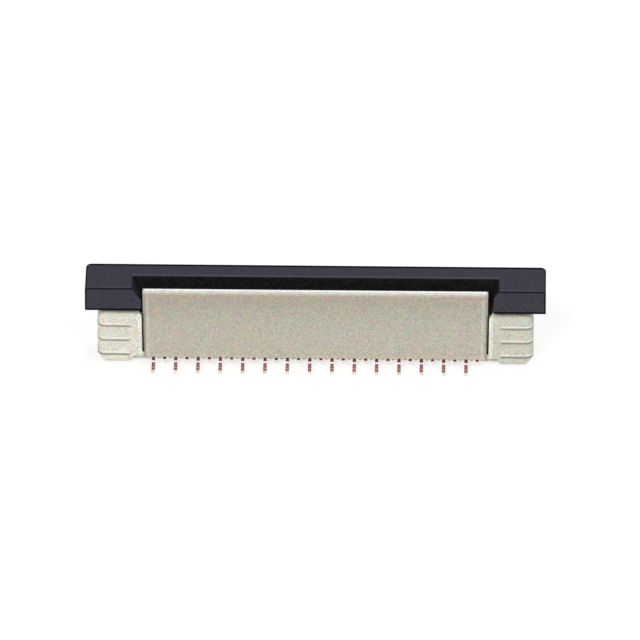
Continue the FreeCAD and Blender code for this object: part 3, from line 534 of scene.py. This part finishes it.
def make_ivory_plastic():
    """Ivory moulding: pale solid end blocks, and long thin walls that look darker and warmer because
    the hollow behind them shows through. Painted shade lies in the hollows, slits and creases and under
    the slider, and painted highlights lie along rims and edges."""
    material, tree, shader = new_material("ivory_plastic", Specular_IOR_Level=0.3)
    place, (x, y, z) = tree.place()
    _, _, faces_up = tree.facing()
    grain = place_group(tree, mould_grain, Place=place, Waves=0.35)
    edges = place_group(tree, soft_edges, Radius=0.06 * MM, Height=grain["Height"], Depth=0.006 * MM)
    hollow = place_group(tree, hollow_shade, Reach=0.6 * MM)["Hollow"]

    along = tree.absolute(x)
    out = tree.absolute(y)
    lean = tree.math("MULTIPLY", tree.minus(z, WALL_FOOT), WALL_LEAN)
    past_end = tree.minus(along, tree.plus(lean, WALL_END))
    in_block = tree.ramp(past_end, *IN_BLOCK)

    walls = colour_walls(tree, z, out, past_end)
    blocks = colour_blocks(tree, grain["Cloud"], x, z, past_end)
    blocks = colour_ridges(tree, blocks, along, out, z)
    colour = tree.blend(in_block, walls, blocks)
    tint = tree.blend(GREY_SHARE, grain["Tint"], tree.grey(grain["Speckle"]))
    colour = tree.flecked(colour, tint, darkest=0.72, spread=0.56)
    # Painted shade in corners and narrow places, above the foot.
    colour = tree.paint(colour, HOLLOW_SHADE_BROWN, hollow, tree.ramp(z, *HOLLOW_LEVEL), strength=0.45)
    # Edges paler, as wear and as a painted highlight.
    colour = tree.paint(colour, EDGE_WEAR_AND_HIGHLIGHT, edges["Edge"], tree.ramp(z, *EDGE_LEVEL), strength=0.5)
    colour = colour_slits(tree, colour, z, out, past_end)
    # Painted shade on the tops of the end blocks where the slider covers them.
    covered = tree.most(tree.ramp(hollow, *CLOSED_IN), tree.ramp(along, *INNER_CORNER))
    colour = tree.paint(colour, COVERED_SHADE_BROWN, in_block, tree.ramp(faces_up, *LOOKS_UP),
                        tree.ramp(z, *BLOCK_TOP_LEVEL), covered, strength=0.92)
    # Painted highlight on the top front rim of the end blocks.
    colour = tree.paint(colour, BLOCK_RIM_HIGHLIGHT, in_block, tree.band(z, *BLOCK_RIM_LEVEL),
                        tree.ramp(faces_up, *STANDS_UPRIGHT))
    tree.join(colour, shader.inputs["Base Color"])
    tree.join(tree.between(grain["Speckle"], *IVORY_ROUGHNESS), shader.inputs["Roughness"])
    tree.join(edges["Normal"], shader.inputs["Normal"])
    return material


# Black plastic of the slider

SLIDER_BLACKS = (from_srgb(55, 53, 62), from_srgb(66, 64, 74))
# Painted shade that gives the front faces and the upper faces their own tints.
FRONT_SHADE_TINT = (0.93, 0.97, 0.95, 1.0)
TOP_SHADE_TINT = (0.87, 0.86, 0.93, 1.0)
# Painted highlight in a paler line on the top beside the front edge and the notch.
LINE_HIGHLIGHT_GREY = from_srgb(82, 80, 96)
# Painted shade in near black lines along the slider's outer edges.
EDGE_SHADE_BLACK = from_srgb(6, 4, 7)
# Painted shade, deep black, inside the notch that the slot wall stands in.
NOTCH_SHADE_BLACKS = (from_srgb(12, 11, 12), from_srgb(40, 40, 40))
BLACK_ROUGHNESS = (0.50, 0.66)
EDGE_ROUGHNESS = 0.95
FRONT_EDGE_STRENGTH = 0.8
END_EDGE_STRENGTH = 0.9

# Places by height.
AT_TOP = (SLIDER_TOP - 0.01 * MM, SLIDER_TOP - 0.004 * MM)
BELOW_TOP_EDGE = (SLIDER_TOP - 0.16 * MM, SLIDER_TOP - 0.10 * MM)
ABOVE_LOW_EDGE = (SLIDER_BOTTOM + 0.24 * MM, SLIDER_BOTTOM + 0.15 * MM)
ABOVE_LEGS = (SLIDER_BOTTOM - 0.02 * MM, SLIDER_BOTTOM)

# Places from the front to the back.
ON_FRONT = (SLIDER_FRONT + 0.008 * MM, SLIDER_FRONT + 0.004 * MM)
BEHIND_FRONT = (SLIDER_FRONT + 0.004 * MM, SLIDER_FRONT + 0.008 * MM)
FRONT_EDGE = (SLIDER_FRONT + 0.12 * MM, SLIDER_FRONT + 0.08 * MM)
FRONT_LINE = (SLIDER_FRONT + 0.14 * MM, SLIDER_FRONT + 0.26 * MM, 0.04 * MM)
BEFORE_NOTCH_BACK = (NOTCH_BACK + 0.012 * MM, NOTCH_BACK + 0.004 * MM)
NOTCH_LINE = (NOTCH_BACK + 0.10 * MM, NOTCH_BACK + 0.28 * MM, 0.06 * MM)
REAR_EDGE = (SLIDER_BACK - 0.54 * MM, SLIDER_BACK - 0.36 * MM)

# Places along the slider, from its middle.
BESIDE_NOTCH = (NOTCH_END, NOTCH_END - 0.1 * MM)
BEFORE_NOTCH_END = (NOTCH_END + 0.02 * MM, NOTCH_END + 0.006 * MM)
END_EDGE = (SLIDER_END - 0.20 * MM, SLIDER_END - 0.11 * MM)

# How far a face looks up, from 0 for an upright one to 1, and how far it looks along the row.
ON_UPPER_FACE = (0.5, 0.9)
OFF_REAR_FACE = (0.1, 0.4)
OFF_END_FACE = (0.9, 0.6)


def mask_dark_edges(tree, along, y, z, faces_end, faces_up):
    """Mask of the painted shade that draws dark lines along the slider's outer edges."""
    on_front = tree.ramp(y, *ON_FRONT)
    front_edge = tree.most(tree.every(on_front, tree.ramp(z, *BELOW_TOP_EDGE)),
                           tree.every(tree.ramp(y, *FRONT_EDGE), tree.ramp(z, *AT_TOP)))
    end_edge = tree.every(tree.ramp(along, *END_EDGE),
                          tree.ramp(tree.absolute(faces_end), *OFF_END_FACE))
    low_edge = tree.every(tree.ramp(z, *ABOVE_LOW_EDGE), tree.ramp(z, *ABOVE_LEGS), on_front)
    rear_edge = tree.every(tree.ramp(y, *REAR_EDGE), tree.ramp(faces_up, *OFF_REAR_FACE))
    return tree.most(tree.every(front_edge, FRONT_EDGE_STRENGTH),
                     tree.every(end_edge, END_EDGE_STRENGTH), low_edge, rear_edge)


def make_black_plastic():
    """Black moulding with an even eroded finish, with painted shade that tints the front and upper
    faces, draws near black lines along the outer edges and makes the inside of the notch that the slot
    wall stands in deep black, and a painted highlight in a paler line beside the edges."""
    material, tree, shader = new_material("black_plastic", Specular_IOR_Level=0.1)
    place, (x, y, z) = tree.place()
    faces_end, _, faces_up = tree.facing()
    grain = place_group(tree, mould_grain, Place=place, Waves=0.5)
    edges = place_group(tree, soft_edges, Radius=0.07 * MM, Height=grain["Height"], Depth=0.008 * MM)
    along = tree.absolute(x)

    colour = tree.blend(grain["Speckle"], *SLIDER_BLACKS)
    colour = tree.flecked(colour, grain["Tint"], darkest=0.78, spread=0.44)
    # Painted shade: the front faces and the upper faces get their own tints.
    colour = tree.paint(colour, tree.tinted(colour, FRONT_SHADE_TINT), tree.ramp(y, *ON_FRONT))
    colour = tree.paint(colour, tree.tinted(colour, TOP_SHADE_TINT), tree.ramp(faces_up, *ON_UPPER_FACE))
    # Painted highlight in a paler line on the top beside the front edge and the notch.
    by_notch = tree.every(tree.band(y, *NOTCH_LINE), tree.ramp(along, *BESIDE_NOTCH))
    highlight_line = tree.most(tree.band(y, *FRONT_LINE), by_notch)
    colour = tree.paint(colour, LINE_HIGHLIGHT_GREY, highlight_line, tree.ramp(z, *AT_TOP), strength=0.5)
    # Painted shade in near black lines along the outer edges.
    dark = mask_dark_edges(tree, along, y, z, faces_end, faces_up)
    colour = tree.paint(colour, EDGE_SHADE_BLACK, dark)
    # Painted shade, deep black, inside the notch.
    deep = tree.blend(grain["Speckle"], *NOTCH_SHADE_BLACKS)
    colour = tree.paint(colour, deep, tree.ramp(along, *BEFORE_NOTCH_END),
                        tree.ramp(y, *BEFORE_NOTCH_BACK), tree.ramp(y, *BEHIND_FRONT))
    tree.join(colour, shader.inputs["Base Color"])
    rough = tree.between(grain["Speckle"], *BLACK_ROUGHNESS)
    tree.join(tree.most(rough, tree.every(dark, EDGE_ROUGHNESS)), shader.inputs["Roughness"])
    tree.join(edges["Normal"], shader.inputs["Normal"])
    return material


# Metal of the contacts and the hold-down plates

# Brown of the tails' upper faces, with painted shade towards their sides.
TAIL_BROWNS_AND_SIDE_SHADE = (from_srgb(186, 112, 112), from_srgb(92, 58, 50))
# Painted reflection: a paler pink band half way along each tail.
TAIL_REFLECTION_PINKS = (from_srgb(236, 180, 184), from_srgb(170, 136, 124))
# Painted shade on the neck of each tail, under the wall.
NECK_SHADE_BROWNS = (from_srgb(120, 60, 67), from_srgb(146, 83, 87))
# Bright tin, laid on the upright faces and as painted highlights at the bend and at the tip.
TAIL_TINS_AND_HIGHLIGHTS = (from_srgb(236, 228, 210), from_srgb(248, 244, 232))
ALLOY_BROWNS = (from_srgb(158, 118, 88), from_srgb(190, 152, 116))
CONTACT_METALLIC = (0.9, 0.35)
CONTACT_ROUGHNESS = (0.30, 0.46)
TAIL_DULLNESS = (0.0, 0.22)
PLATE_TINS = (from_srgb(205, 203, 200), from_srgb(226, 224, 221))
# Painted highlight along the edges of the hold-down plates.
PLATE_EDGE_HIGHLIGHT = from_srgb(244, 243, 240)
PLATE_ROUGHNESS = (0.28, 0.45)

# Places along a solder tail, out from the face of its wall.
OUTSIDE_WALL = (0.0, 0.2 * MM)
AT_BEND = (NECK_LENGTH + 0.03 * MM, NECK_LENGTH + 0.09 * MM, 0.03 * MM)
ON_NECK = (NECK_LENGTH + 0.34 * MM, NECK_LENGTH + 0.28 * MM)
HALF_WAY = (0.92 * MM, 1.05 * MM, 0.06 * MM)
AT_TIP = (TAIL_LENGTH - 0.27 * MM, TAIL_LENGTH - 0.21 * MM)

# Heights where the bare alloy of the forks gives way to the tin of the tails.
TIN_LEVEL = (1.3 * MM, 0.9 * MM)

# Distance from the middle of a contact, as a share of the pitch.
BESIDE_MIDDLE = (0.05, 0.11)

# How far a face looks up, from 0 for an upright one to 1.
UPRIGHT = (0.7, 0.35)


def colour_tails(tree, x, out, faces_up, sheet):
    """Solder tails: brown on the faces that look up, with painted shade on their sides and on the neck
    and a paler painted reflection half way along, and bright tin on the upright faces and as painted
    highlights at the bend and at the tip."""
    step = tree.math("FRACT", tree.math("DIVIDE", x, CONTACT_PITCH))
    by_side = tree.ramp(tree.absolute(tree.minus(step, 0.5)), *BESIDE_MIDDLE)
    colour = tree.blend(by_side, *TAIL_BROWNS_AND_SIDE_SHADE)
    colour = tree.paint(colour, tree.blend(by_side, *TAIL_REFLECTION_PINKS), tree.band(out, *HALF_WAY))
    neck = tree.blend(sheet["Streak"], *NECK_SHADE_BROWNS)
    colour = tree.paint(colour, neck, tree.ramp(out, *ON_NECK))
    bright = tree.most(tree.ramp(faces_up, *UPRIGHT), tree.ramp(out, *AT_TIP), tree.band(out, *AT_BEND))
    return tree.paint(colour, tree.blend(sheet["Patch"], *TAIL_TINS_AND_HIGHLIGHTS), bright)


def make_contact_metal():
    """Stamped copper alloy: tinned solder tails, and forks that show the bare metal."""
    material, tree, shader = new_material("contact_metal", Specular_IOR_Level=0.5)
    place, (x, y, z) = tree.place()
    _, _, faces_up = tree.facing()
    sheet = place_group(tree, rolled_sheet, Place=place)
    edges = place_group(tree, soft_edges, Radius=0.03 * MM, Height=sheet["Height"], Depth=0.003 * MM)
    out = tree.minus(tree.absolute(y), WALL_FACE)
    tinned = tree.ramp(z, *TIN_LEVEL)
    tails = colour_tails(tree, x, out, faces_up, sheet)
    colour = tree.paint(tree.blend(sheet["Streak"], *ALLOY_BROWNS), tails, tinned)
    tree.join(colour, shader.inputs["Base Color"])
    tree.join(tree.between(tinned, *CONTACT_METALLIC), shader.inputs["Metallic"])
    rough = tree.between(sheet["Streak"], *CONTACT_ROUGHNESS)
    dull = tree.ramp(out, *OUTSIDE_WALL, *TAIL_DULLNESS)
    tree.join(tree.plus(rough, dull), shader.inputs["Roughness"])
    tree.join(edges["Normal"], shader.inputs["Normal"])
    return material


def make_nail_metal():
    """Hold-down plate: tin plate, softly dulled in patches, with a painted highlight along its edges.
    """
    material, tree, shader = new_material("nail_metal", Specular_IOR_Level=0.5, Metallic=0.9)
    place, _ = tree.place()
    sheet = place_group(tree, rolled_sheet, Place=place)
    edges = place_group(tree, soft_edges, Radius=0.04 * MM, Height=sheet["Height"], Depth=0.003 * MM)
    colour = tree.blend(sheet["Patch"], *PLATE_TINS)
    colour = tree.paint(colour, PLATE_EDGE_HIGHLIGHT, edges["Edge"], strength=0.5)
    tree.join(colour, shader.inputs["Base Color"])
    tree.join(tree.between(sheet["Streak"], *PLATE_ROUGHNESS), shader.inputs["Roughness"])
    tree.join(edges["Normal"], shader.inputs["Normal"])
    return material


def dress(node_name, material):
    """Puts the material on every slot of a node, and makes a slot where there is none."""
    mesh = nodes[node_name].data
    if not mesh.materials:
        mesh.materials.append(material)
    for slot in nodes[node_name].material_slots:
        slot.material = material


ivory_plastic = make_ivory_plastic()
black_plastic = make_black_plastic()
contact_metal = make_contact_metal()
nail_metal = make_nail_metal()

for name in nodes:
    if name.startswith("contact"):
        dress(name, contact_metal)
    elif name.startswith("nail"):
        dress(name, nail_metal)
dress("housing", ivory_plastic)
dress("slider", black_plastic)


# Floor, light and camera

FLOOR_REACH = 1.5
FLOOR_DROP = 0.002 * MM

# The floor's grey, its darker grey as the camera sees it, and the glow that makes up for that.
FLOOR_GREY = 0.86
FLOOR_SEEN_GREY = 0.36
FLOOR_GLOW = 0.68

WORLD_LIGHT = 0.50
WORLD_SEEN_LIGHT = 1.0

# Name, place in metres and power in watts of each lamp.
LAMPS = (
    ("key_lamp", (-0.35, -0.75, 0.80), 5.2),
    ("fill_lamp", (0.60, -0.50, 0.55), 2.2),
    ("rear_lamp", (0.50, 0.65, 0.45), 2.6),
)
LAMP_WIDTH = 0.60
LAMP_AIM = Vector((0, 0, 4 * MM))

PHOTO_SIDE = 640
PIXELS_PER_METRE = 11162
CAMERA_REACH = 1.30
CAMERA_AIM = Vector((0.383 * MM, 0.0, 3.41 * MM))
ELEVATION = math.radians(33.0)
YAW = math.radians(1.0)
ROLL = -0.0004
SENSOR = 36.0
CLIPPING = (0.01, 10.0)


def make_floor():
    """Pale floor that the camera and reflections see as white, and that keeps the shadow."""
    mesh = bpy.data.meshes.new("floor")
    corners = [(-FLOOR_REACH, -FLOOR_REACH, 0), (FLOOR_REACH, -FLOOR_REACH, 0),
               (FLOOR_REACH, FLOOR_REACH, 0), (-FLOOR_REACH, FLOOR_REACH, 0)]
    mesh.from_pydata(corners, [], [(0, 1, 2, 3)])
    floor = bpy.data.objects.new("floor", mesh)
    bpy.context.scene.collection.objects.link(floor)
    floor.location.z = cad_box[0][2] - FLOOR_DROP
    material, tree, shader = new_material(
        "floor_paper", Roughness=0.9, Specular_IOR_Level=0.1, Emission_Color=WHITE)
    path = tree.add("ShaderNodeLightPath").outputs
    seen = tree.most(path["Is Camera Ray"], path["Is Glossy Ray"], path["Is Transmission Ray"])
    level = tree.ramp(seen, 0.0, 1.0, FLOOR_GREY, FLOOR_SEEN_GREY, smooth=False)
    tree.join(tree.grey(level), shader.inputs["Base Color"])
    tree.join(tree.every(seen, FLOOR_GLOW), shader.inputs["Emission Strength"])
    mesh.materials.append(material)


def make_world():
    """Even soft light from all round, which the camera sees as white."""
    world = bpy.data.worlds.new("studio")
    world.use_nodes = True
    world.node_tree.nodes.clear()
    tree = Tree(world.node_tree)
    mix = tree.add("ShaderNodeMixShader")
    tree.join(tree.add("ShaderNodeLightPath").outputs["Is Camera Ray"], mix.inputs[0])
    for socket, strength in ((mix.inputs[1], WORLD_LIGHT), (mix.inputs[2], WORLD_SEEN_LIGHT)):
        background = tree.add("ShaderNodeBackground")
        background.inputs["Color"].default_value = WHITE
        background.inputs["Strength"].default_value = strength
        tree.join(background.outputs[0], socket)
    tree.join(mix.outputs[0], tree.add("ShaderNodeOutputWorld").inputs["Surface"])
    bpy.context.scene.world = world


def add_lamp(name, place, power):
    light = bpy.data.lights.new(name, "AREA")
    light.shape = "DISK"
    light.size = LAMP_WIDTH
    light.energy = power
    lamp = bpy.data.objects.new(name, light)
    lamp.location = place
    lamp.rotation_euler = (LAMP_AIM - Vector(place)).to_track_quat("-Z", "Y").to_euler()
    bpy.context.scene.collection.objects.link(lamp)


def make_camera():
    """Long lens on the slot side, looking down at the photograph's angle."""
    data = bpy.data.cameras.new("camera")
    data.sensor_width = SENSOR
    data.lens = SENSOR * CAMERA_REACH * PIXELS_PER_METRE / PHOTO_SIDE
    data.clip_start, data.clip_end = CLIPPING
    camera = bpy.data.objects.new("camera", data)
    level = Vector((math.sin(YAW), -math.cos(YAW), 0)) * math.cos(ELEVATION)
    back = level + Vector((0, 0, math.sin(ELEVATION)))
    camera.location = CAMERA_AIM + back * CAMERA_REACH
    turn = (-back).to_track_quat("-Z", "Y") @ Quaternion((0, 0, 1), ROLL)
    camera.rotation_euler = turn.to_euler()
    bpy.context.scene.collection.objects.link(camera)
    bpy.context.scene.camera = camera


make_floor()
make_world()
for name, place, power in LAMPS:
    add_lamp(name, place, power)
make_camera()
bpy.context.scene.view_settings.view_transform = "Standard"
